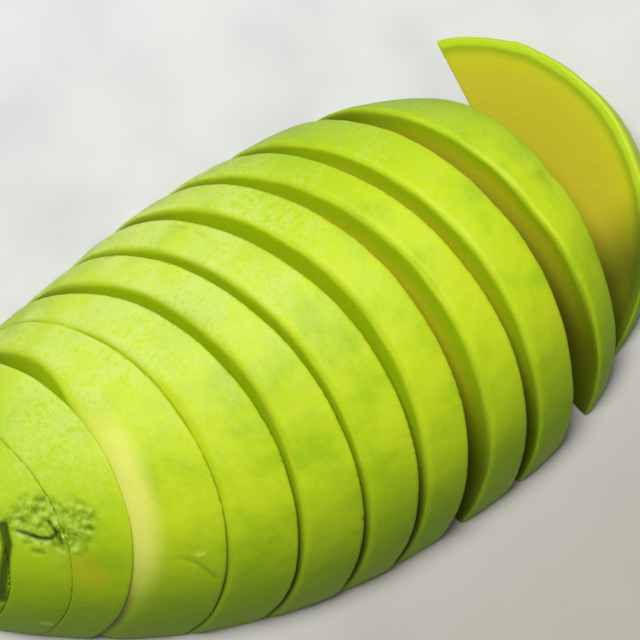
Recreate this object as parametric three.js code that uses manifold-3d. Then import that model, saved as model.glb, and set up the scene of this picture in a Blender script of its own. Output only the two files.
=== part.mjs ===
// A peeled avocado half that lies on its wide cut face, cut across into slices
// that lean over and stand a little apart, as they are fanned out for serving.
// Millimetres, +Z up, +X from the stem end to the blossom end.
// The origin is under the middle of the whole row, on the surface it lies on.

import * as THREE from 'three';
import { mergeVertices } from 'three/addons/utils/BufferGeometryUtils.js';
import Module from 'manifold-3d';

// Size of the half, with the slices already spread along X
const HALF_WIDTH = 31;
const HEIGHT = 25;
const WIDEST_AT = -4;
const STEM_LENGTH = 65;
const STEM_TAPER = 1.5;
const BLOSSOM_LENGTH = 53.5;
const BLOSSOM_TAPER = 3;
const SECTION_ROUNDNESS = 1.94;

// The long axis runs slightly across X, and bends aside towards the stem end
const AXIS_SLANT = -0.065;
const BEND_FROM = -15;
const BEND = 0.0047;

// The hollow that the stone leaves in the underside
const STONE = { at: -2, halfLength: 22, halfWidth: 17, depth: 14 };

// Each cut, from the stem end: where it meets the surface, how wide it stands open there,
// how far it leans from upright, how far it is turned, and how much more it opens at the far side
const CUTS = [
  { at: -58.5, gap: 0.4, lean: 31, turn: 0, fan: 0 },
  { at: -52, gap: 0.4, lean: 30.5, turn: -1, fan: 0 },
  { at: -45, gap: 2.2, lean: 33, turn: -5, fan: 1 },
  { at: -35.5, gap: 1.2, lean: 33, turn: -0.5, fan: 1.2 },
  { at: -28, gap: 1.6, lean: 33.5, turn: 3.5, fan: 1.6 },
  { at: -19, gap: 1.4, lean: 32, turn: 5.5, fan: 0.8 },
  { at: -11.5, gap: 2.6, lean: 34, turn: 6.5, fan: 2.3 },
  { at: -2.5, gap: 3.4, lean: 34, turn: 5, fan: -1.2 },
  { at: 8, gap: 2.9, lean: 32, turn: 7, fan: 1 },
  { at: 19, gap: 5.7, lean: 32, turn: 4.5, fan: -1.2 },
  { at: 33.5, gap: 5.8, lean: 31, turn: -3.5, fan: 6.5 },
];

// The blossom end has slid further, its cut face lies back more than the rest, and it is
// only a share as thick behind that face as the fruit's own shape would make it
const END_FACE_LEAN = 54;
const END_SLIDE = 9.2;
const END_ASIDE = 4.8;
const END_THICKNESS = 0.9;

// How finely the curved surfaces are divided
const ARCH_STEPS = 48;
const SLICE_BANDS = 3;
const END_BANDS = 14;
const STONE_STEPS = 32;

// The search for where a cut meets the skin: how often it is repeated and how far it moves each time
const SEARCH_PASSES = 60;
const SEARCH_SHARE = 0.4;
const WELD_DISTANCE = 1e-4;

const FLESH = { color: 0xa9cf2e, roughness: 0.42, metalness: 0 };

const radians = THREE.MathUtils.degToRad;

function taper(along) {
  const fromWidest = along - WIDEST_AT;
  const share = fromWidest < 0
    ? Math.pow(-fromWidest / STEM_LENGTH, STEM_TAPER)
    : Math.pow(fromWidest / BLOSSOM_LENGTH, BLOSSOM_TAPER);
  return Math.sqrt(Math.max(0, 1 - share));
}

function axisOffset(along) {
  const pastBend = Math.min(0, along - BEND_FROM);
  return AXIS_SLANT * along + BEND * pastBend * pastBend;
}

// A point of the outer surface: angle 0 is the far lower edge, 90 the top, 180 the near lower edge
function skinPoint(along, angle) {
  const across = Math.cos(angle);
  const up = Math.sin(angle);
  const power = 2 / SECTION_ROUNDNESS;
  const size = taper(along);
  return new THREE.Vector3(
    along,
    axisOffset(along) + HALF_WIDTH * size * Math.sign(across) * Math.pow(Math.abs(across), power),
    HEIGHT * size * Math.pow(Math.abs(up), power),
  );
}

// How far along the fruit a cut face lies, beside a point
function alongOnFace(face, point) {
  return face.at
    + point.z * Math.tan(radians(face.lean)) / Math.cos(radians(face.turn))
    - (point.y - axisOffset(face.at)) * Math.tan(radians(face.turn));
}

// How far along the fruit a leaning cut passes through the skin at an angle of the arch
function alongAtCut(face, angle) {
  let along = face.at;
  for (let pass = 0; pass < SEARCH_PASSES; pass += 1) {
    const wanted = alongOnFace(face, skinPoint(along, angle));
    along += SEARCH_SHARE * (wanted - along);
  }
  return along;
}

function rimAlongs(face) {
  const alongs = [];
  for (let step = 0; step <= ARCH_STEPS; step += 1) {
    alongs.push(alongAtCut(face, Math.PI * step / ARCH_STEPS));
  }
  return alongs;
}

function archBetween(fromAlongs, toAlongs, share) {
  return fromAlongs.map((from, step) => {
    const point = skinPoint(from + (toAlongs[step] - from) * share, Math.PI * step / ARCH_STEPS);
    if (step === 0 || step === ARCH_STEPS) point.z = 0;
    return point;
  });
}

// Arches from one end of a piece to the other; at a tip of the fruit they close up towards a point
function sliceArches(front, back) {
  const fromAlongs = rimAlongs(front);
  const toAlongs = rimAlongs(back);
  const arches = [];
  for (let band = 0; band <= SLICE_BANDS; band += 1) {
    arches.push(archBetween(fromAlongs, toAlongs, band / SLICE_BANDS));
  }
  return arches;
}

function tipArches(face, tipAlong) {
  const rim = rimAlongs(face);
  const tip = rim.map(() => tipAlong);
  const arches = [];
  for (let band = 0; band < END_BANDS; band += 1) {
    const share = 1 - band / END_BANDS;
    arches.push(archBetween(tip, rim, share * share));
  }
  return arches;
}

// A closed body from a row of arches that run towards +X, each closed by a straight base line
function bodyFromArches(arches, closeToTip, tipPoint) {
  const positions = [];
  const triangle = (a, b, c) => positions.push(...a.toArray(), ...b.toArray(), ...c.toArray());
  for (let band = 0; band + 1 < arches.length; band += 1) {
    const near = arches[band];
    const next = arches[band + 1];
    const count = near.length;
    for (let step = 0; step < count; step += 1) {
      const after = (step + 1) % count;
      triangle(near[step], near[after], next[after]);
      triangle(near[step], next[after], next[step]);
    }
  }
  closeEnd(arches[0], triangle, false);
  if (closeToTip) closeTip(arches[arches.length - 1], tipPoint, triangle);
  else closeEnd(arches[arches.length - 1], triangle, true);
  const geometry = new THREE.BufferGeometry();
  geometry.setAttribute('position', new THREE.Float32BufferAttribute(positions, 3));
  return geometry;
}

function closeEnd(arch, triangle, facesForward) {
  const middle = new THREE.Vector3();
  arch.forEach((point) => middle.addScaledVector(point, 1 / arch.length));
  arch.forEach((point, step) => {
    const after = arch[(step + 1) % arch.length];
    if (facesForward) triangle(middle, point, after);
    else triangle(middle, after, point);
  });
}

function closeTip(arch, tipPoint, triangle) {
  arch.forEach((point, step) => {
    triangle(tipPoint, point, arch[(step + 1) % arch.length]);
  });
}

// Arches that run towards -X give faces that point inwards, so each triangle is turned round
function turnedRound(geometry) {
  const position = geometry.getAttribute('position');
  for (let corner = 0; corner < position.count; corner += 3) {
    const second = new THREE.Vector3().fromBufferAttribute(position, corner + 1);
    const third = new THREE.Vector3().fromBufferAttribute(position, corner + 2);
    position.setXYZ(corner + 1, third.x, third.y, third.z);
    position.setXYZ(corner + 2, second.x, second.y, second.z);
  }
  return geometry;
}

const wasm = await Module();
wasm.setup();

function toSolid(geometry) {
  geometry.deleteAttribute('normal');
  geometry.deleteAttribute('uv');
  const welded = mergeVertices(geometry, WELD_DISTANCE);
  return new wasm.Manifold(new wasm.Mesh({
    numProp: 3,
    vertProperties: new Float32Array(welded.getAttribute('position').array),
    triVerts: new Uint32Array(welded.index.array),
  }));
}

function toGeometry(solid) {
  const mesh = solid.getMesh();
  const geometry = new THREE.BufferGeometry();
  geometry.setAttribute('position', new THREE.BufferAttribute(mesh.vertProperties, 3));
  geometry.setIndex(new THREE.BufferAttribute(mesh.triVerts, 1));
  geometry.computeVertexNormals();
  return geometry;
}

function stoneGeometry() {
  const geometry = new THREE.SphereGeometry(1, STONE_STEPS, STONE_STEPS / 2);
  geometry.rotateX(Math.PI / 2);
  geometry.scale(STONE.halfLength, STONE.halfWidth, STONE.depth);
  geometry.translate(STONE.at, axisOffset(STONE.at), 0);
  return geometry;
}

const stone = toSolid(stoneGeometry());

function reachesStone(front, back) {
  return back.at > STONE.at - STONE.halfLength && front.at < STONE.at + STONE.halfLength;
}

// The two faces of a cut: the one left on the piece before it, and the one on the piece after it
function faceBefore(cut) {
  return { at: cut.at, lean: cut.lean, turn: cut.turn };
}

function faceAfter(cut) {
  return { at: cut.at + cut.gap, lean: cut.lean, turn: cut.turn - cut.fan };
}

function sliceSolid(front, back) {
  const whole = toSolid(bodyFromArches(sliceArches(front, back), false));
  return reachesStone(front, back) ? whole.subtract(stone) : whole;
}

function stemEndGeometry(face) {
  const tipAlong = WIDEST_AT - STEM_LENGTH;
  const tipPoint = new THREE.Vector3(tipAlong, axisOffset(tipAlong), 0);
  return turnedRound(bodyFromArches(tipArches(face, tipAlong), true, tipPoint));
}

function thinBehind(face, geometry, share) {
  const position = geometry.getAttribute('position');
  for (let corner = 0; corner < position.count; corner += 1) {
    const point = new THREE.Vector3().fromBufferAttribute(position, corner);
    const faceAlong = alongOnFace(face, point);
    position.setX(corner, faceAlong + (point.x - faceAlong) * share);
  }
}

function blossomEndGeometry(cut) {
  const tipAlong = WIDEST_AT + BLOSSOM_LENGTH;
  const tipPoint = new THREE.Vector3(tipAlong, axisOffset(tipAlong), 0);
  const after = faceAfter(cut);
  const face = { at: after.at - END_SLIDE, lean: END_FACE_LEAN, turn: after.turn };
  const geometry = bodyFromArches(tipArches(face, tipAlong), true, tipPoint);
  thinBehind(face, geometry, END_THICKNESS);
  geometry.translate(END_SLIDE, END_ASIDE, 0);
  return geometry;
}

function fleshMesh(name, geometry) {
  const mesh = new THREE.Mesh(geometry, new THREE.MeshStandardMaterial(FLESH));
  mesh.name = name;
  return mesh;
}

function pieceName(index) {
  return `slice_${String(index).padStart(2, '0')}`;
}

const avocado = new THREE.Group();
const lastCut = CUTS[CUTS.length - 1];

avocado.add(fleshMesh('stem_end', toGeometry(toSolid(stemEndGeometry(faceBefore(CUTS[0]))))));
for (let index = 1; index < CUTS.length; index += 1) {
  const solid = sliceSolid(faceAfter(CUTS[index - 1]), faceBefore(CUTS[index]));
  avocado.add(fleshMesh(pieceName(index), toGeometry(solid)));
}
avocado.add(fleshMesh('blossom_end', toGeometry(toSolid(blossomEndGeometry(lastCut)))));

// The middle of the row stands over the origin
const middle = new THREE.Box3().setFromObject(avocado).getCenter(new THREE.Vector3());
avocado.position.set(-middle.x, -middle.y, 0);

export default avocado;
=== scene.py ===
import math
from collections import namedtuple

import bpy
import numpy as np
from bpy.props import FloatProperty, FloatVectorProperty, PointerProperty
from mathutils import Matrix, Vector, noise


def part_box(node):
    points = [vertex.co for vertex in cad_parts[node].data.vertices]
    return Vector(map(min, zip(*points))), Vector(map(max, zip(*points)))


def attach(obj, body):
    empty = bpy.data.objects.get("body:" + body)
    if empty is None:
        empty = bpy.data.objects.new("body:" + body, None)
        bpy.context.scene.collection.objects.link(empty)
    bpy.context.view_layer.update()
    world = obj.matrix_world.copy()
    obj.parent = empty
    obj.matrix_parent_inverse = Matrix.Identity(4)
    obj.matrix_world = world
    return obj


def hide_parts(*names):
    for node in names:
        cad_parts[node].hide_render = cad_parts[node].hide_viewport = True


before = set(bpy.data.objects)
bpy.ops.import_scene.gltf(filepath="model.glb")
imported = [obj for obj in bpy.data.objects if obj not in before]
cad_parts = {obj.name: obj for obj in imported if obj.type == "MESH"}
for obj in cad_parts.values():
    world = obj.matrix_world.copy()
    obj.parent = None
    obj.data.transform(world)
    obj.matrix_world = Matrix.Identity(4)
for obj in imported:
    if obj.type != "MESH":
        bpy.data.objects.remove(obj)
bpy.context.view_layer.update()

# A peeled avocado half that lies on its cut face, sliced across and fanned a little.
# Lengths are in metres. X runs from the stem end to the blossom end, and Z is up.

bl_info = {
    "name": "Sliced avocado half",
    "version": (1, 0, 0),
    "blender": (4, 5, 0),
    "location": "3D View > Sidebar > Avocado",
    "description": "Makes the flesh of a peeled and sliced avocado half over its plain solids",
    "category": "Add Mesh",
}

BODY = "root"
MM = 0.001

# Each cut, from the stem end: where it meets the surface and how wide it stands open there, in
# metres, how far it leans and how far it is turned, and how much more it opens at the far side,
# in degrees. The first, second and fourth are closer than between the solids.
Cut = namedtuple("Cut", "at gap lean turn fan")
CUTS = (
    Cut(-0.0585, 0.0001, 31, 0, 0),
    Cut(-0.052, 0.00004, 30.5, -1, 0),
    Cut(-0.045, 0.0022, 33, -5, 1),
    Cut(-0.0355, 0.0004, 33, -0.5, 0.2),
    Cut(-0.028, 0.0016, 33.5, 3.5, 1.6),
    Cut(-0.019, 0.0014, 32, 5.5, 0.8),
    Cut(-0.0115, 0.0026, 34, 6.5, 2.3),
    Cut(-0.0025, 0.0034, 34, 5, -1.2),
    Cut(0.008, 0.0029, 32, 7, 1),
    Cut(0.019, 0.0057, 32, 4.5, -1.2),
    Cut(0.0335, 0.0058, 31, -3.5, 6.5),
)
Face = namedtuple("Face", "at lean turn")

# How finely the whole fruit and the stone are divided, and how near a cut a point is on it
SECTION_STEPS = 128
LENGTH_STEPS = 128
STONE_STEPS = 64
TOUCHING = 1e-7
GROUND_SIZE = 0.3

# How far the row is moved aside to stand over the origin
ROW_ASIDE = 0.03 * MM

# The slice whose front rim is rounded off broad by wear. Each pair is where something is gone and
# where it is full, in millimetres: the wear and its pale colour on the far side, the colour on the
# near side, then the colour past the cut and under the skin. The pale colour is partly the paler
# flesh of that rim and partly a painted highlight where the broad rim faces the light.
WIDE_RIM_SLICE = 3
WEAR_FAR = (17.0, 5.0)
PALE_FAR = (11.0, -3.0)
PALE_NEAR = (-23.0, -12.0)
PALE_PAST = (1.9, -0.6)
PALE_DEPTH = (2.6, 1.4)

# Where a cut is narrower than this, its rims are hardly rounded
CLOSE = 0.3 * MM
CLOSE_RIM_SHARE = 0.07

# How the rims' radius varies round the arch: by which share, and how often
RIM_WAVES = ((0.2, 7), (0.1, 17))

# Between which heights painted shade darkens the flesh towards the base, in millimetres, and how
# much the place across the fruit adds to the height. On the last piece the place across counts
# alone, for the painted shade on its near side beside the last slice.
BASE_SHADE_BELOW = (19.0, 4.0)
BASE_SHADE_SLANT = 0.15
END_SHADE_FROM = (-9.0, -20.0)

# Where the powder on the skin is gone and full, across the fruit, where it grows thinner along
# it, in millimetres, and the share that is lost there
POWDER_ACROSS = (-17.0, 15.0)
POWDER_ALONG = (-2.0, 18.0)
POWDER_LOST = 0.65

# Broad dents in the surface: where, how wide and how deep, in millimetres
Dent = namedtuple("Dent", "place width depth")
DENTS = (
    Dent((35.7, -4.6, 17.0), 4.0, 0.55),
    Dent((42.0, -1.4, 15.2), 1.6, 0.6),
    Dent((-40.0, -9.5, 14.0), 4.5, 0.5),
)

# The first pieces stand so close that the unevenness of their surface runs on across the cuts
JOINED_PIECES = 3

# Marks on the peeled surface. A path is in millimetres in the fruit's own frame, and a mark's
# width and depth are in millimetres too. The last number is below 0 for dark and above 0 for
# pale: the darkness in the cracks, pits, groove and crease is painted shade, while the darker
# patches and specks are the flesh's own colour.
Mark = namedtuple("Mark", "width depth tone path")
MARKS = (
    # Cracks and pits of the mashed patch, darkened with painted shade
    Mark(0.36, 0.45, -0.9, ((-47.1, 1.7, 16.2), (-46.3, 0.4, 16.2), (-45.5, -0.8, 16.2),
                            (-44.3, -1.9, 16.3), (-43.4, -2.0, 16.6))),
    Mark(0.34, 0.40, -0.9, ((-43.0, -0.1, 17.3), (-43.1, -1.6, 16.8), (-43.4, -3.3, 16.2))),
    Mark(0.5, 0.3, -0.6, ((-42.6, 3.4, 18.0), (-42.2, 3.0, 18.0))),
    Mark(0.45, 0.3, -0.7, ((-39.5, -3.7, 17.6), (-39.1, -4.2, 17.5))),
    Mark(0.5, 0.3, -0.6, ((-45.9, 2.7, 16.9), (-45.9, 2.2, 16.8))),
    Mark(0.4, 0.25, -0.5, ((-47.0, -1.6, 15.2), (-46.2, -2.6, 15.2))),
    # The groove beside it, darkened with painted shade
    Mark(0.7, 0.4, -1.3, ((-48.3, 3.6, 16.1), (-49.2, 1.3, 14.9), (-51.4, -0.8, 12.7),
                          (-53.8, -3.3, 8.8))),
    # A nick and a crease on the third slice: the crease is darkened with painted shade, and the
    # nick and the line beside it are raised and paler
    Mark(0.4, 0.15, -0.4, ((-31.4, -14.1, 15.5), (-29.9, -16.1, 14.8), (-28.9, -18.7, 12.8))),
    Mark(0.3, -0.2, 1.0, ((-29.2, -15.4, 15.5), (-28.5, -15.7, 15.6))),
    Mark(0.5, -0.05, 0.3, ((-32.7, -12.4, 15.9), (-31.3, -13.9, 15.7))),
    # A crease low on the first slices
    Mark(0.4, -0.2, 0.5, ((-51.2, -8.7, 5.3), (-49.9, -9.4, 5.0))),
    # Darker patches on the last slice
    Mark(1.3, 0.15, -0.22, ((39.9, -0.2, 16.5), (40.9, -0.5, 15.8))),
    Mark(0.8, 0.1, -0.2, ((38.6, 9.6, 14.4), (38.0, 8.5, 15.0))),
    # A small bump on the last piece's rim
    Mark(0.9, -0.3, 0.0, ((41.9, 13.7, 6.3), (42.8, 11.5, 7.2))),
    # Dark specks near the far rims
    Mark(0.6, 0.1, -0.3, ((-5.0, 24.2, 15.9), (-3.8, 22.4, 17.2))),
    Mark(0.6, 0.1, -0.25, ((-3.0, 20.9, 18.5), (-2.6, 19.3, 19.5))),
    Mark(0.7, 0.1, -0.25, ((-13.9, 26.2, 12.8), (-13.4, 27.4, 11.4))),
)

# The mashed patch and the stain: paths like the marks', and how far they reach from them. The
# patch's edge is moved in and out by up to about MASH_RAGGED.
MASH_PATH = ((-44.7, 1.2, 16.8), (-41.0, -2.2, 17.5))
MASH_REACH = (5.0, 2.4)
MASH_RAGGED = 1.6
STAIN_PATH = ((-43.2, -6.9, 14.8), (-42.4, -9.4, 13.2))
STAIN_WIDTH = 2.2

# The unevenness of the surface: its wavelength in metres, and the seed and octaves of its draw
Uneven = namedtuple("Uneven", "wavelength seed octaves")
WAVES = Uneven(0.014, 0, 2)
LUMPS = Uneven(0.0028, 40, 3)
CRINKLES = Uneven(0.0015, 71, 3)
RAGGED = Uneven(0.004, 72, 2)
SEED_SHIFT = (17.3, 5.9, 11.7)

# How deep the skin's unevenness reaches, and how high above the base it is full, in metres
SKIN_DEPTH = (1.0 * MM, 0.2 * MM)
ABOVE_BASE = (0.0, 1.5 * MM)

# How a piece's small faces are drawn onto its exact form: how often they are smoothed before
# each settling, how often a settling is repeated, how far it moves a point each time, as a
# share of the grain, the least squared slope that it reckons with, and how far apart it tries
# places to find the slope
SMOOTHINGS = (3, 1)
SETTLE_PASSES = 4
SETTLE_SHARE = 0.7
LEAST_STEEPNESS = 0.2
PROBE = 0.02 * MM

# Wavelengths of the flesh's patterns, in metres
BROAD = 0.011
PATCHES = 0.008
WOBBLE = 0.004
MOTTLE = 0.0028
STREAKS = 0.0012
PULP = 0.0011
MASHED_BUMP = 0.0009
FINE = 0.0007

# Wavelengths of the clouds in the surface under the fruit, in metres
CLOUDS = 0.05
SMALL_CLOUDS = 0.017


class FruitShape(bpy.types.PropertyGroup):
    half_width: FloatProperty(
        name="Half width", description="From the long axis to either side", default=0.031,
        unit="LENGTH")
    height: FloatProperty(
        name="Height", description="Height of the half at its widest place", default=0.025,
        unit="LENGTH")
    widest_at: FloatProperty(
        name="Widest at", description="Place of the widest section along the fruit",
        default=-0.004, unit="LENGTH")
    stem_length: FloatProperty(
        name="Stem length", description="From the widest section to the stem's tip",
        default=0.065, unit="LENGTH")
    stem_taper: FloatProperty(
        name="Stem taper", description="Power of the curve towards the stem", default=1.5)
    blossom_length: FloatProperty(
        name="Blossom length", description="From the widest section to the blossom's tip",
        default=0.0535, unit="LENGTH")
    blossom_taper: FloatProperty(
        name="Blossom taper", description="Power of the curve towards the blossom", default=3.0)
    roundness: FloatProperty(
        name="Roundness", description="Power of the section's curve, 2 for an ellipse",
        default=1.94)
    axis_slant: FloatProperty(
        name="Axis slant", description="Sideways run of the long axis for each length along X",
        default=-0.065)
    bend_from: FloatProperty(
        name="Bend from", description="Where the axis starts to bend towards the stem",
        default=-0.015, unit="LENGTH")
    bend: FloatProperty(
        name="Bend", description="How strongly the axis bends, per metre", default=4.7)
    stone_at: FloatProperty(
        name="Stone at", description="Place of the stone's hollow", default=-0.002,
        unit="LENGTH")
    stone_size: FloatVectorProperty(
        name="Stone size", description="Half length, half width and depth of the hollow",
        default=(0.022, 0.017, 0.014), unit="LENGTH")
    end_lean: FloatProperty(
        name="End lean", description="How far the last piece's face lies back, in degrees",
        default=54.0)
    end_slide: FloatVectorProperty(
        name="End slide", description="How far the last piece has slid along and aside",
        default=(0.0092, 0.0048, 0.0), unit="LENGTH")
    end_thickness: FloatProperty(
        name="End thickness", description="Share of the fruit's own length behind that face",
        default=0.9)


class FleshLook(bpy.types.PropertyGroup):
    grain: FloatProperty(
        name="Grain", description="Length of the small faces that a piece is built of",
        default=0.00036, unit="LENGTH")
    front_rim: FloatProperty(
        name="Front rim", description="Radius of the rims on the side that shows",
        default=0.0006, unit="LENGTH")
    back_rim: FloatProperty(
        name="Back rim", description="Radius of the rims behind",
        default=0.00045, unit="LENGTH")
    fine_grain: FloatProperty(
        name="Fine grain", description="The same for the pieces with a thin edge or a close cut",
        default=0.00024, unit="LENGTH")
    wide_rim: FloatVectorProperty(
        name="Wide rim", description="How wide and how deep the one broad worn rim is, and how "
        "far it fills the gap before it", default=(0.0026, 0.0011, 0.0016), unit="LENGTH")
    base_rim: FloatProperty(
        name="Base rim", description="Radius of the edges round the underside",
        default=0.0002, unit="LENGTH")
    mash: FloatProperty(
        name="Mash", description="Height of the crinkles in the mashed patch",
        default=0.0004, unit="LENGTH")
    wave: FloatProperty(
        name="Waves", description="Height of the broad waves of the surface",
        default=0.0003, unit="LENGTH")
    lumps: FloatProperty(
        name="Lumps", description="Height of the small lumps of the surface",
        default=0.00007, unit="LENGTH")
    lime: FloatVectorProperty(
        name="Lime", description="Colour of the peeled surface", subtype="COLOR",
        default=(0.55, 0.70, 0.012))
    pale: FloatVectorProperty(
        name="Pale lime", description="Colour of its paler patches", subtype="COLOR",
        default=(0.60, 0.75, 0.17))
    deep: FloatVectorProperty(
        name="Deep green", description="Colour of its darker patches", subtype="COLOR",
        default=(0.32, 0.54, 0.002))
    # Pale rim colour: partly the paler flesh of the broad rim, partly a painted highlight where it
    # faces the light
    worn: FloatVectorProperty(
        name="Worn rim", description="Colour of the broad worn rim", subtype="COLOR",
        default=(0.74, 0.78, 0.14))
    # Colour of the dark marks: painted shade in the cracks, pits, groove and crease and between
    # the mashed pulp's curls, and also the flesh's own darker patches and specks
    shade: FloatVectorProperty(
        name="Marks", description="Colour of cracks and pits", subtype="COLOR",
        default=(0.06, 0.11, 0.002))
    stain: FloatVectorProperty(
        name="Stain", description="Colour of the brownish patch", subtype="COLOR",
        default=(0.44, 0.42, 0.01))
    edge: FloatVectorProperty(
        name="Edge", description="Colour of the rounded rims", subtype="COLOR",
        default=(0.56, 0.70, 0.02))
    # Painted shade: a near-black green that stands in for the shade deep in the gaps, on the cut
    # faces near the base
    low_cut_shade: FloatVectorProperty(
        name="Low flesh", description="Colour of the cut faces near the base", subtype="COLOR",
        default=(0.05, 0.07, 0.001))
    # Painted shade: a darker green that stands in for the shade on the surface low down on the
    # near side
    low_skin_shade: FloatVectorProperty(
        name="Low skin", description="Colour of the surface near the base", subtype="COLOR",
        default=(0.20, 0.35, 0.001))
    under: FloatVectorProperty(
        name="Green layer", description="Colour of the cut face just under the surface",
        subtype="COLOR", default=(0.36, 0.52, 0.002))
    end_under: FloatVectorProperty(
        name="Green layer at the end", description="The same on the last piece",
        subtype="COLOR", default=(0.24, 0.37, 0.001))
    middle: FloatVectorProperty(
        name="Olive layer", description="Colour of the cut face further in", subtype="COLOR",
        default=(0.54, 0.54, 0.012))
    heart: FloatVectorProperty(
        name="Yellow flesh", description="Colour of the flesh towards the stone",
        subtype="COLOR", default=(0.55, 0.49, 0.02))


class StageLook(bpy.types.PropertyGroup):
    floor_size: FloatProperty(
        name="Floor size", description="Length of the floor's sides", default=3.0,
        unit="LENGTH")
    floor_light: FloatVectorProperty(
        name="Floor light", description="Colour of the surface under the fruit",
        subtype="COLOR", default=(0.68, 0.68, 0.67))
    floor_dark: FloatVectorProperty(
        name="Floor dark", description="Colour of the surface's faint marks",
        subtype="COLOR", default=(0.57, 0.57, 0.57))
    # Painted shadow: a darker warm colour for the floor on the near side, standing in for the
    # fruit's soft shadow there
    floor_shadow: FloatVectorProperty(
        name="Warm floor", description="Colour of the surface on the near side",
        subtype="COLOR", default=(0.38, 0.355, 0.285))
    key_power: FloatProperty(
        name="Key power", description="Strength of the large soft light", default=5.8,
        unit="POWER")
    sky_strength: FloatProperty(
        name="Sky strength", description="Strength of the light from all around",
        default=0.20)


# The shape of the fruit

def taper(along, shape):
    from_widest = along - shape.widest_at
    stem_share = (np.abs(from_widest) / shape.stem_length) ** shape.stem_taper
    blossom_share = (np.abs(from_widest) / shape.blossom_length) ** shape.blossom_taper
    share = np.where(from_widest < 0, stem_share, blossom_share)
    return np.sqrt(np.maximum(0.0, 1.0 - share))


def axis_offset(along, shape):
    past_bend = np.minimum(0.0, along - shape.bend_from)
    return shape.axis_slant * along + shape.bend * past_bend ** 2


def depth_under_skin(points, shape):
    """How deep points of the fruit lie under its uncut surface, in metres."""
    along, across, up = points[:, 0], points[:, 1], np.maximum(points[:, 2], 0.0)
    across = across - axis_offset(along, shape)
    power = shape.roundness
    section = (np.abs(across) / shape.half_width) ** power + (up / shape.height) ** power
    section = np.maximum(section, 1e-9) ** (1.0 / power)
    size = taper(along, shape)
    from_axis = np.hypot(across, up)
    outwards = from_axis * (size / section - 1.0)
    step = 0.5 * MM
    slope = (taper(along + step, shape) - taper(along - step, shape)) / (2 * step)
    steepness = slope * from_axis / section
    return outwards / np.sqrt(1.0 + steepness ** 2)


def face_plane(face, shape):
    """A point of a cut's plane and its normal towards the blossom end."""
    point = Vector((face.at, float(axis_offset(face.at, shape)), 0.0))
    turn = math.radians(face.turn)
    lean = math.radians(face.lean)
    normal = Vector((1.0, math.tan(turn), -math.tan(lean) / math.cos(turn)))
    return point, normal.normalized()


def distance_past(points, face, shape):
    """How far points lie past a cut's plane, towards the blossom end."""
    point, normal = face_plane(face, shape)
    return (points - np.array(point)) @ np.array(normal)


def distance_from_stone(points, shape):
    centre = np.array((shape.stone_at, float(axis_offset(shape.stone_at, shape)), 0.0))
    size = np.array(shape.stone_size)
    near = np.linalg.norm((points - centre) / size, axis=1)
    steep = np.linalg.norm((points - centre) / size ** 2, axis=1)
    return near * (near - 1.0) / np.maximum(steep, 1e-9)


def slope_of(measure, points, here):
    """How fast a measure of points grows along X, Y and Z from its values here."""
    return np.column_stack([(measure(points + step) - here) / PROBE for step in np.eye(3) * PROBE])


def rounded_min(first, second, radius):
    """How deep a point lies inside two surfaces whose shared edge is rounded off."""
    beyond = np.hypot(np.maximum(radius - first, 0.0), np.maximum(radius - second, 0.0))
    return np.maximum(radius, np.minimum(first, second)) - beyond


def moved_in_x(points, moves):
    moved = points.copy()
    moved[:, 0] += moves
    return moved


def thinned(points, face, shape):
    """Where points of the thin last piece were before it was made thinner behind its face."""
    normal = face_plane(face, shape)[1]
    behind = distance_past(points, face, shape) / normal.x
    return moved_in_x(points, behind * (1.0 / shape.end_thickness - 1.0))


def face_before(cut):
    return Face(cut.at, cut.lean, cut.turn)


def face_after(cut):
    return Face(cut.at + cut.gap, cut.lean, cut.turn - cut.fan)


# Mesh helpers

def vertices_of(piece):
    flat = np.empty(len(piece.data.vertices) * 3)
    piece.data.vertices.foreach_get("co", flat)
    return flat.reshape(-1, 3)


def set_vertices(piece, points):
    piece.data.vertices.foreach_set("co", points.ravel())
    piece.data.update()


def select_only(piece):
    bpy.ops.object.select_all(action="DESELECT")
    piece.select_set(True)
    bpy.context.view_layer.objects.active = piece


def apply_modifier(piece, kind, **settings):
    select_only(piece)
    modifier = piece.modifiers.new(kind.title(), kind)
    for name, value in settings.items():
        setattr(modifier, name, value)
    bpy.ops.object.modifier_apply(modifier=modifier.name)


def cut_away(piece, point, normal, keep_forward):
    """Cuts a piece with a plane and closes it."""
    select_only(piece)
    bpy.ops.object.mode_set(mode="EDIT")
    bpy.ops.mesh.select_all(action="SELECT")
    bpy.ops.mesh.bisect(
        plane_co=point, plane_no=normal, use_fill=True,
        clear_inner=keep_forward, clear_outer=not keep_forward, threshold=TOUCHING)
    bpy.ops.object.mode_set(mode="OBJECT")
    check_closed(piece)


def check_closed(piece):
    """Stops where an edge of a piece doesn't join exactly two faces."""
    edges = np.empty(len(piece.data.loops), dtype=np.int32)
    piece.data.loops.foreach_get("edge_index", edges)
    open_edges = int(np.count_nonzero(np.bincount(edges, minlength=len(piece.data.edges)) != 2))
    if open_edges:
        raise RuntimeError(f"{piece.name} has {open_edges} edges that don't join two faces")


def fractal(points, uneven, seed=0):
    """Smooth random values of about -1 to 1, the same each run."""
    shift = Vector([(uneven.seed + seed) * part for part in SEED_SHIFT])
    scaled = points / uneven.wavelength
    return np.array([noise.fractal(Vector(p) + shift, 1.0, 2.0, uneven.octaves) for p in scaled])


def smooth_step(low, high, values):
    share = np.clip((values - low) / (high - low), 0.0, 1.0)
    return share * share * (3.0 - 2.0 * share)


# Pieces

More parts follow.
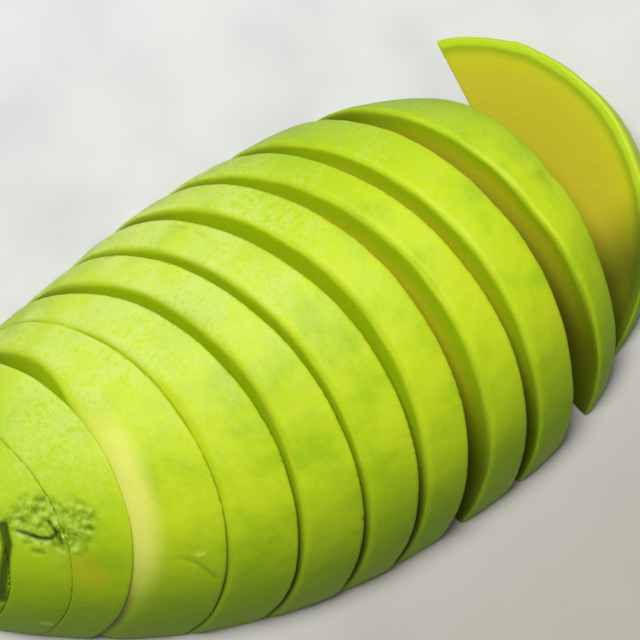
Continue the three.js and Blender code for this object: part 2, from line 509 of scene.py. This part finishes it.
def add_whole_fruit(shape):
    """The uncut fruit, both halves, from a sphere whose poles become its two tips."""
    bpy.ops.object.select_all(action="DESELECT")
    bpy.ops.mesh.primitive_uv_sphere_add(
        segments=SECTION_STEPS, ring_count=LENGTH_STEPS, radius=1.0)
    fruit = bpy.context.object
    fruit.name = "whole_fruit"
    unit = vertices_of(fruit)
    share = unit[:, 2]
    reach = np.where(share < 0, shape.stem_length, shape.blossom_length)
    along = shape.widest_at + share * reach
    round_radius = np.maximum(np.hypot(unit[:, 0], unit[:, 1]), 1e-9)
    across = unit[:, 0] / round_radius
    up = unit[:, 1] / round_radius
    power = 2.0 / shape.roundness
    size = taper(along, shape)
    points = np.column_stack((
        along,
        axis_offset(along, shape)
        + shape.half_width * size * np.sign(across) * np.abs(across) ** power,
        shape.height * size * np.sign(up) * np.abs(up) ** power,
    ))
    set_vertices(fruit, points)
    return fruit


def add_stone(shape):
    bpy.ops.object.select_all(action="DESELECT")
    centre = (shape.stone_at, float(axis_offset(shape.stone_at, shape)), 0.0)
    bpy.ops.mesh.primitive_uv_sphere_add(
        segments=STONE_STEPS, ring_count=STONE_STEPS // 2, location=centre,
        scale=tuple(shape.stone_size))
    bpy.ops.object.transform_apply(location=True, rotation=False, scale=True)
    return bpy.context.object


def add_ground():
    """A block whose top is the surface that the half lies on."""
    bpy.ops.object.select_all(action="DESELECT")
    bpy.ops.mesh.primitive_cube_add(
        size=GROUND_SIZE, location=(0, 0, -GROUND_SIZE / 2))
    bpy.ops.object.transform_apply(location=True, rotation=False, scale=False)
    return bpy.context.object


def take_away(piece, cutter):
    apply_modifier(
        piece, "BOOLEAN", operation="DIFFERENCE", solver="MANIFOLD", object=cutter)
    check_closed(piece)


def copy_of(piece, name):
    select_only(piece)
    bpy.ops.object.duplicate()
    made = bpy.context.object
    made.name = name
    made.data.name = name
    return made


def remove(piece):
    select_only(piece)
    bpy.ops.object.delete()


def cut_between(piece, front, back, ground, shape):
    """Leaves what lies between two cut faces, where they are given, and above the ground."""
    if front:
        cut_away(piece, *face_plane(front, shape), keep_forward=True)
    if back:
        cut_away(piece, *face_plane(back, shape), keep_forward=False)
    take_away(piece, ground)


def reaches_stone(front, back, shape):
    return (back.at > shape.stone_at - shape.stone_size[0]
            and front.at < shape.stone_at + shape.stone_size[0])


class Form:
    """The exact form of one piece: the fruit between two cut faces, with its rims rounded."""

    def __init__(self, shape, look, front=None, back=None, stone=False, seed=0):
        self.shape, self.look = shape, look
        self.front, self.back, self.stone, self.seed = front, back, stone, seed
        self.thin = False
        self.wide = False
        self.grain = look.grain
        self.front_rim, self.back_rim = look.front_rim, look.back_rim

    def across(self, points):
        """How far points lie from the long axis towards the far side, in millimetres."""
        return (points[:, 1] - axis_offset(points[:, 0], self.shape)) / MM

    def depth(self, points):
        """How deep points lie under the skin."""
        if self.thin:
            points = thinned(points, self.front, self.shape)
        depth = depth_under_skin(points, self.shape)
        for dent in DENTS:
            away = np.linalg.norm(points / MM - np.array(dent.place), axis=1)
            depth -= dent.depth * MM * np.exp(-(away / dent.width) ** 2)
        return depth

    def outwards(self, points):
        """The direction straight out through the skin."""
        direction = -slope_of(self.depth, points, self.depth(points))
        return direction / np.maximum(np.linalg.norm(direction, axis=1), 1e-9)[:, None]

    def wear(self, points):
        """1 where the front rim is broadly rounded off by wear, 0 where it isn't."""
        return self.wide * smooth_step(*WEAR_FAR, self.across(points))

    def worn_highlight_share(self, points, depth):
        """How strongly points show the pale rim colour, which is partly a painted highlight."""
        if not self.wide:
            return np.zeros(len(points))
        across = self.across(points)
        past = distance_past(points, self.front, self.shape)
        worn = self.wear(points) * smooth_step(*PALE_FAR, across) * smooth_step(*PALE_NEAR, across)
        return worn * smooth_step(*PALE_PAST, past / MM) * smooth_step(*PALE_DEPTH, depth / MM)

    def near_base(self, points):
        """How much painted shade darkens the flesh, low down and on the near side."""
        across = self.across(points)
        if self.thin:
            return smooth_step(*END_SHADE_FROM, across)
        return smooth_step(*BASE_SHADE_BELOW, points[:, 2] / MM + BASE_SHADE_SLANT * across)

    def powder(self, points):
        """How powdery the skin is: most on the far side, less towards the blossom end."""
        lost = POWDER_LOST * smooth_step(*POWDER_ALONG, points[:, 0] / MM)
        return smooth_step(*POWDER_ACROSS, self.across(points)) * (1.0 - lost)

    def rim_variation(self, points):
        """Between about 0.7 and 1.3 round the arch, another for each piece."""
        round_arch = np.arctan2(points[:, 2], points[:, 1])
        variation = np.ones(len(points))
        for number, (share, often) in enumerate(RIM_WAVES, start=1):
            variation += share * np.sin(often * round_arch + number * self.seed)
        return variation

    def inside(self, points):
        """How deep points lie inside the piece, below 0 outside it."""
        inside = self.depth(points)
        variation = self.rim_variation(points)
        if self.front:
            past = distance_past(points, self.front, self.shape)
            wear = self.wear(points)
            wide, deep, fill = self.look.wide_rim
            rim = (1.0 - wear) * self.front_rim * variation + wear * deep
            flatness = 1.0 - wear * (1.0 - deep / wide)
            inside = rounded_min(inside, (past + wear * fill) * flatness, rim)
        if self.back:
            before = -distance_past(points, self.back, self.shape)
            inside = rounded_min(inside, before, self.back_rim * variation)
        if self.stone:
            clear = distance_from_stone(points, self.shape)
            inside = rounded_min(inside, clear, self.look.base_rim)
        return rounded_min(inside, points[:, 2], self.look.base_rim)

    def settle(self, points):
        """Moves points that lie near the form's surface onto it."""
        longest = self.grain * SETTLE_SHARE
        for _ in range(SETTLE_PASSES):
            inside = self.inside(points)
            gradient = slope_of(self.inside, points, inside)
            steepness = np.maximum((gradient ** 2).sum(axis=1), LEAST_STEEPNESS)
            moves = -(inside / steepness)[:, None] * gradient
            length = np.maximum(np.linalg.norm(moves, axis=1), 1e-9)
            points = points + moves * np.minimum(1.0, longest / length)[:, None]
        return points


def distance_to_path(points, path):
    """How far points lie from a path of straight lines."""
    nearest = np.full(len(points), np.inf)
    for start, end in zip(np.array(path), np.array(path[1:])):
        run = end - start
        share = np.clip((points - start) @ run / (run @ run), 0.0, 1.0)
        away = np.linalg.norm(points - start - share[:, None] * run, axis=1)
        nearest = np.minimum(nearest, away)
    return nearest


def marks_on(points, look):
    """How far the marks press points in, how dark or pale they are, partly with painted shade and
    light, and how mashed they are.
    """
    in_mm = points / MM
    press, tone = np.zeros(len(points)), np.zeros(len(points))
    for mark in MARKS:
        share = np.exp(-(distance_to_path(in_mm, mark.path) / mark.width) ** 2)
        press += mark.depth * MM * share
        tone += mark.tone * share
    from_mash = distance_to_path(in_mm, MASH_PATH)
    there = from_mash < 2 * MASH_REACH[0]
    crinkle = np.zeros(len(points))
    if there.any():
        crinkle[there] = fractal(points[there], CRINKLES)
        from_mash[there] += MASH_RAGGED * fractal(points[there], RAGGED)
    mashed = smooth_step(*MASH_REACH, from_mash)
    press += mashed * look.mash * (0.4 - crinkle)
    # Painted light on the crinkles: the raised ones are paler and the sunken ones darker
    tone += mashed * crinkle * 0.5
    return press, np.clip(tone, -1.0, 1.0), mashed


def note(piece, name, values):
    """Keeps a number for each point of a piece, for its material to read."""
    attribute = piece.data.attributes.new(name, "FLOAT", "POINT")
    attribute.data.foreach_set("value", values)


def row_offset(shape):
    """From the fruit's own place to its place in the row, as the stem end's solid has it."""
    tip = shape.widest_at - shape.stem_length
    return Vector((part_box("stem_end")[0].x - tip, ROW_ASIDE, 0.0))


def finish_flesh(piece, node, form, slide=Vector()):
    """Gives a cut piece its exact form, waves, lumps and marks, and notes for its material."""
    shape, look = form.shape, form.look
    apply_modifier(piece, "REMESH", mode="VOXEL", voxel_size=form.grain)
    for iterations in SMOOTHINGS:
        apply_modifier(piece, "SMOOTH", factor=0.5, iterations=iterations)
        points = form.settle(vertices_of(piece))
        set_vertices(piece, points)
    depth = form.depth(points)
    skin = smooth_step(*SKIN_DEPTH, depth)
    seed = form.seed if form.seed >= JOINED_PIECES else 0
    lift = look.wave * fractal(points, WAVES, seed) + look.lumps * fractal(points, LUMPS, seed)
    press, tone, mashed = marks_on(points, look)
    lift = (lift - press) * skin * smooth_step(*ABOVE_BASE, points[:, 2])
    stained = np.exp(-(distance_to_path(points / MM, STAIN_PATH) / STAIN_WIDTH) ** 2)
    notes = {
        "depth_mm": depth / MM,
        "tone": tone * skin,
        "mashed": mashed * skin,
        "stained": stained * skin,
        "powder": form.powder(points),
        "worn": form.worn_highlight_share(points, depth),
        "near_base": form.near_base(points),
    }
    for name, values in notes.items():
        note(piece, name, values)
    points = points + form.outwards(points) * lift[:, None]
    points[:, 2] = np.maximum(points[:, 2], 0.0)
    set_vertices(piece, points + np.array(row_offset(shape) + slide))
    select_only(piece)
    bpy.ops.object.shade_smooth()
    piece.data.materials.clear()
    piece.data.materials.append(flesh_material(look))
    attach(piece, BODY)
    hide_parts(node)


# Materials

class Maths:
    """A shader socket that can be added, multiplied and so on like a number."""

    def __init__(self, tree, socket):
        self.tree = tree
        self.socket = socket

    def node(self, kind, output=0, settings=None, **inputs):
        """A new node of any kind, with its settings and the inputs that are linked or set."""
        made = self.tree.nodes.new(kind)
        for name, value in (settings or {}).items():
            setattr(made, name, value)
        for name, value in inputs.items():
            put(self.tree, made.inputs[name.replace("_", " ")], value)
        return Maths(self.tree, made.outputs[output])

    def maths(self, operation, *values):
        made = self.tree.nodes.new("ShaderNodeMath")
        made.operation = operation
        for slot, value in zip(made.inputs, (self, *values)):
            put(self.tree, slot, value)
        return Maths(self.tree, made.outputs[0])

    def __add__(self, other):
        return self.maths("ADD", other)

    __radd__ = __add__

    def __mul__(self, other):
        return self.maths("MULTIPLY", other)

    __rmul__ = __mul__

    def __sub__(self, other):
        return self.maths("SUBTRACT", other)

    def __rsub__(self, other):
        return (self * -1.0) + other

    def step(self, low, high):
        """0 below low, 1 above high, and smooth between them."""
        made = self.tree.nodes.new("ShaderNodeMapRange")
        made.interpolation_type = "SMOOTHSTEP"
        put(self.tree, made.inputs["Value"], self)
        made.inputs["From Min"].default_value = low
        made.inputs["From Max"].default_value = high
        return Maths(self.tree, made.outputs[0])

    def stretched(self, scale):
        """A vector with each of its parts multiplied."""
        made = self.tree.nodes.new("ShaderNodeVectorMath")
        made.operation = "MULTIPLY"
        put(self.tree, made.inputs[0], self)
        made.inputs[1].default_value = scale
        return Maths(self.tree, made.outputs[0])

    def part(self, axis):
        """One number of a vector: X, Y or Z."""
        made = self.tree.nodes.new("ShaderNodeSeparateXYZ")
        put(self.tree, made.inputs[0], self)
        return Maths(self.tree, made.outputs[axis])

    def noise(self, wavelength, detail=3.0, roughness=0.5):
        """Noise over a position in metres, about 0.2 to 0.8."""
        return self.node(
            "ShaderNodeTexNoise", Vector=self, Scale=1.0 / wavelength, Detail=detail,
            Roughness=roughness)

    def noted(self, name):
        """A number that is kept for each point of the piece."""
        return self.node("ShaderNodeAttribute", "Fac", {"attribute_name": name})

    def mix(self, first, second):
        """A colour between first, where this is 0, and second, where it is 1."""
        made = self.tree.nodes.new("ShaderNodeMix")
        made.data_type = "RGBA"
        put(self.tree, made.inputs[0], self)
        put(self.tree, made.inputs[6], first)
        put(self.tree, made.inputs[7], second)
        return Maths(self.tree, made.outputs[2])


def put(tree, slot, value):
    if isinstance(value, Maths):
        tree.links.new(value.socket, slot)
    elif isinstance(value, (int, float)):
        slot.default_value = value
    elif len(value) == 3 and slot.type == "RGBA":
        slot.default_value = (*value, 1.0)
    else:
        slot.default_value = tuple(value)


def new_material(name):
    """A material with a Principled shader, and its position in metres to draw with."""
    material = bpy.data.materials.new(name)
    material.use_nodes = True
    tree = material.node_tree
    shader = tree.nodes["Principled BSDF"]
    coordinates = tree.nodes.new("ShaderNodeTexCoord")
    return material, tree, shader, Maths(tree, coordinates.outputs["Object"])


def skin_colour(place, look, mottle, fine):
    """The peeled surface: lime with soft patches and powdery on the far side, with painted shade
    that darkens it on the far side towards the blossom end and low down on the near side.
    """
    mashed = place.noted("mashed")
    powder = place.noted("powder")
    along = place.part("X")
    streaks = place.stretched((1.0, 0.3, 1.0)).noise(STREAKS, 2.0)
    deeps = (place.noise(BROAD, 2.0) * 1.1 + mottle * 0.3 + streaks * 0.25).step(0.72, 1.15)
    # Painted shade: the far side towards the blossom end is darkened with the deep green, standing
    # in for less light falling there
    far_side_shade = place.part("Y").step(0.004, 0.022) * along.step(0.0, 0.02)
    stem_side = 1.0 - along.step(-0.034, -0.022)
    skin = (deeps * 0.8).mix(look.lime, look.deep)
    skin = (far_side_shade * 0.6).mix(skin, look.deep)
    skin = (stem_side * 0.45).mix(skin, look.deep)
    # Painted shade on the skin low down on the near side
    skin = (place.noted("near_base") * 0.9).mix(skin, look.low_skin_shade)
    patches = place.noise(PATCHES, 2.0).step(0.36, 0.60) * 0.5 + 0.3
    specks = (mottle * 0.7 + fine + powder * 0.35).step(0.86, 1.26)
    skin = (specks * powder * patches * (1.0 - stem_side * 0.3)).mix(skin, look.pale)
    skin = (place.noted("stained") * 0.6).mix(skin, look.stain)
    skin = (mashed * 0.6).mix(skin, look.deep)
    # Painted highlights on the pulp's curls in the mashed patch, and painted shade between them
    lit_pulp = place.noise(PULP, 4.0, 0.7).step(0.40, 0.62)
    skin = (mashed * lit_pulp * 0.3).mix(skin, look.pale)
    return (mashed * (1.0 - lit_pulp) * 0.3).mix(skin, look.shade)


def cut_colour(place, look, depth):
    """The cut faces: a lighter rim, a green layer, yellow flesh towards the stone, and painted
    shade near the base.
    """
    along = place.part("X")
    ripe = along.step(-0.005, 0.035)
    last = along.step(0.038, 0.046)
    inner = depth + (place.noise(WOBBLE, 3.0) - 0.5) * 0.7
    rim = (last * 0.35).mix(look.edge, look.deep)
    green = last.mix(look.under, look.end_under)
    cut = (inner - last * 0.6).step(0.4, 1.2).mix(rim, green)
    cut = (inner + ripe * 1.6 + last * 0.3).step(2.9, 5.1).mix(cut, look.middle)
    cut = (inner + ripe * 1.6).step(4.6, 8.1).mix(cut, look.heart)
    # Painted shade on the cut faces low down, where the gaps are deep
    return (place.noted("near_base") * 0.85).mix(cut, look.low_cut_shade)


def flesh_material(look):
    made = bpy.data.materials.get("avocado_flesh")
    if made:
        return made
    made, tree, shader, place = new_material("avocado_flesh")
    depth = place.noted("depth_mm")
    tone = place.noted("tone")
    mottle = place.noise(MOTTLE, 4.0, 0.6)
    fine = place.noise(FINE, 3.0, 0.6)

    skin = skin_colour(place, look, mottle, fine)
    colour = depth.step(0.2, 0.5).mix(skin, cut_colour(place, look, depth))
    # The broad rim's pale colour, partly a painted highlight
    colour = place.noted("worn").mix(colour, look.worn)
    # Dark marks, mostly painted shade, then pale marks, partly painted light on raised crinkles
    colour = (tone * -1.0).step(0.0, 1.0).mix(colour, look.shade)
    colour = (tone.step(0.0, 1.0) * 0.7).mix(colour, look.pale)
    put(tree, shader.inputs["Base Color"], colour)

    crinkles = place.noted("mashed") * place.noise(MASHED_BUMP, 3.0, 0.6)
    height = mottle * 0.5 + fine * 0.4 + crinkles * 1.2
    bump = place.node("ShaderNodeBump", Height=height, Strength=0.22, Distance=0.0005)
    put(tree, shader.inputs["Normal"], bump)
    put(tree, shader.inputs["Roughness"], fine * 0.2 + 0.40)
    shader.inputs["Specular IOR Level"].default_value = 0.3
    shader.inputs["Subsurface Weight"].default_value = 0.35
    shader.inputs["Subsurface Radius"].default_value = (1.0, 0.9, 0.25)
    shader.inputs["Subsurface Scale"].default_value = 0.002
    shader.inputs["IOR"].default_value = 1.42
    return made


def floor_material(look):
    made, tree, shader, place = new_material("pale_surface")
    clouds = place.noise(CLOUDS, 3.0, 0.55) * 0.7 + place.noise(SMALL_CLOUDS, 2.0) * 0.3
    # Painted shadow on the near side of the floor
    near_side_shadow = 1.0 - place.part("Y").step(-0.05, 0.02)
    surface = clouds.step(0.36, 0.58).mix(look.floor_dark, look.floor_light)
    put(tree, shader.inputs["Base Color"], (near_side_shadow * 0.8).mix(surface, look.floor_shadow))
    shader.inputs["Roughness"].default_value = 0.7
    return made


# Operators

class AVOCADO_OT_stem_end(bpy.types.Operator):
    """Makes the tip at the stem end"""
    bl_idname = "avocado.stem_end"
    bl_label = "Stem end"

    def execute(self, context):
        shape, look = context.scene.avocado_shape, context.scene.avocado_flesh
        piece = add_whole_fruit(shape)
        piece.name = "flesh_stem_end"
        ground = add_ground()
        back = face_before(CUTS[0])
        cut_between(piece, None, back, ground, shape)
        remove(ground)
        form = Form(shape, look, back=back)
        form.back_rim *= CLOSE_RIM_SHARE
        form.grain = look.fine_grain
        finish_flesh(piece, "stem_end", form)
        return {"FINISHED"}


class AVOCADO_OT_slices(bpy.types.Operator):
    """Makes the slices between the two ends"""
    bl_idname = "avocado.slices"
    bl_label = "Slices"

    def execute(self, context):
        shape, look = context.scene.avocado_shape, context.scene.avocado_flesh
        fruit = add_whole_fruit(shape)
        stone = add_stone(shape)
        ground = add_ground()
        for index in range(1, len(CUTS)):
            front, back = face_after(CUTS[index - 1]), face_before(CUTS[index])
            piece = copy_of(fruit, f"flesh_slice_{index:02d}")
            cut_between(piece, front, back, ground, shape)
            hollow = reaches_stone(front, back, shape)
            if hollow:
                take_away(piece, stone)
            form = Form(shape, look, front, back, hollow, index)
            if CUTS[index - 1].gap < CLOSE:
                form.front_rim *= CLOSE_RIM_SHARE
            if CUTS[index].gap < CLOSE:
                form.back_rim *= CLOSE_RIM_SHARE
            form.wide = index == WIDE_RIM_SLICE
            if index < JOINED_PIECES:
                form.grain = look.fine_grain
            finish_flesh(piece, f"slice_{index:02d}", form)
        for helper in (fruit, stone, ground):
            remove(helper)
        return {"FINISHED"}


class AVOCADO_OT_blossom_end(bpy.types.Operator):
    """Makes the piece at the blossom end, which has slid further"""
    bl_idname = "avocado.blossom_end"
    bl_label = "Blossom end"

    def execute(self, context):
        shape, look = context.scene.avocado_shape, context.scene.avocado_flesh
        slide = Vector(shape.end_slide)
        after = face_after(CUTS[-1])
        face = Face(after.at - slide.x, shape.end_lean, after.turn)
        piece = add_whole_fruit(shape)
        piece.name = "flesh_blossom_end"
        ground = add_ground()
        cut_between(piece, face, None, ground, shape)
        remove(ground)
        points = vertices_of(piece)
        behind = distance_past(points, face, shape) / face_plane(face, shape)[1].x
        set_vertices(piece, moved_in_x(points, behind * (shape.end_thickness - 1.0)))
        form = Form(shape, look, front=face, seed=len(CUTS))
        form.thin = True
        form.grain = look.fine_grain
        finish_flesh(piece, "blossom_end", form, slide)
        return {"FINISHED"}


# The camera: where it points, from how far and from which side, how it is rolled, its lens and
# sensor in millimetres
CAMERA_AIM = Vector((0.006, 0.004, 0.0))
CAMERA_DISTANCE = 0.678
CAMERA_ELEVATION = 76.5
CAMERA_AZIMUTH = -129.5
CAMERA_ROLL = 2.9
CAMERA_LENS = 271.1
CAMERA_SENSOR = 36.0

# The large soft light above the far side of the fruit
KEY_PLACE = (0.0, 0.18, 0.73)
KEY_SIZE = 0.42
WHITE = (1.0, 1.0, 1.0)


def add_camera():
    elevation = math.radians(CAMERA_ELEVATION)
    azimuth = math.radians(CAMERA_AZIMUTH)
    roll = math.radians(CAMERA_ROLL)
    back = Vector((
        math.cos(elevation) * math.cos(azimuth),
        math.cos(elevation) * math.sin(azimuth),
        math.sin(elevation),
    ))
    right = Vector((0, 0, 1)).cross(back).normalized()
    up = back.cross(right)
    rolled_right = right * math.cos(roll) + up * math.sin(roll)
    rolled_up = up * math.cos(roll) - right * math.sin(roll)
    bpy.ops.object.camera_add()
    camera = bpy.context.object
    camera.name = "photo_camera"
    turned = Matrix((rolled_right, rolled_up, back)).transposed().to_4x4()
    aim = CAMERA_AIM + row_offset(bpy.context.scene.avocado_shape)
    camera.matrix_world = Matrix.Translation(aim + back * CAMERA_DISTANCE) @ turned
    camera.data.lens = CAMERA_LENS
    camera.data.sensor_width = CAMERA_SENSOR
    bpy.context.scene.camera = camera


def add_key_light(power):
    bpy.ops.object.light_add(type="AREA", location=KEY_PLACE)
    light = bpy.context.object
    light.name = "key_light"
    light.data.shape = "DISK"
    light.data.size = KEY_SIZE
    light.data.energy = power
    light.data.color = WHITE
    light.rotation_euler = (-Vector(KEY_PLACE)).to_track_quat("-Z", "Y").to_euler()


class AVOCADO_OT_stage(bpy.types.Operator):
    """Lays the pale surface and sets the soft light and the camera"""
    bl_idname = "avocado.stage"
    bl_label = "Stage"

    def execute(self, context):
        look = context.scene.avocado_stage
        bpy.ops.object.select_all(action="DESELECT")
        bpy.ops.mesh.primitive_plane_add(size=look.floor_size)
        floor = bpy.context.object
        floor.name = "floor"
        floor.data.materials.append(floor_material(look))
        add_key_light(look.key_power)
        world = context.scene.world or bpy.data.worlds.new("sky")
        context.scene.world = world
        world.use_nodes = True
        background = world.node_tree.nodes["Background"]
        background.inputs["Color"].default_value = (*WHITE, 1.0)
        background.inputs["Strength"].default_value = look.sky_strength
        context.scene.view_settings.view_transform = "Standard"
        add_camera()
        return {"FINISHED"}


class AVOCADO_PT_panel(bpy.types.Panel):
    """Sizes, colours and buttons for the avocado half"""
    bl_idname = "AVOCADO_PT_panel"
    bl_label = "Sliced avocado half"
    bl_space_type = "VIEW_3D"
    bl_region_type = "UI"
    bl_category = "Avocado"

    def draw(self, context):
        groups = (context.scene.avocado_shape, context.scene.avocado_flesh,
                  context.scene.avocado_stage)
        for group in groups:
            box = self.layout.box()
            for name in group.__annotations__:
                box.prop(group, name)
        for operator in OPERATORS:
            self.layout.operator(operator.bl_idname)


GROUPS = {
    "avocado_shape": FruitShape,
    "avocado_flesh": FleshLook,
    "avocado_stage": StageLook,
}
OPERATORS = (
    AVOCADO_OT_stem_end,
    AVOCADO_OT_slices,
    AVOCADO_OT_blossom_end,
    AVOCADO_OT_stage,
)


def register():
    for name, group in GROUPS.items():
        bpy.utils.register_class(group)
        setattr(bpy.types.Scene, name, PointerProperty(type=group))
    for operator in OPERATORS:
        bpy.utils.register_class(operator)
    bpy.utils.register_class(AVOCADO_PT_panel)


def unregister():
    bpy.utils.unregister_class(AVOCADO_PT_panel)
    for operator in reversed(OPERATORS):
        bpy.utils.unregister_class(operator)
    for name, group in reversed(GROUPS.items()):
        delattr(bpy.types.Scene, name)
        bpy.utils.unregister_class(group)


def main():
    register()
    bpy.ops.avocado.stem_end()
    bpy.ops.avocado.slices()
    bpy.ops.avocado.blossom_end()
    bpy.ops.avocado.stage()


if __name__ == "__main__":
    main()
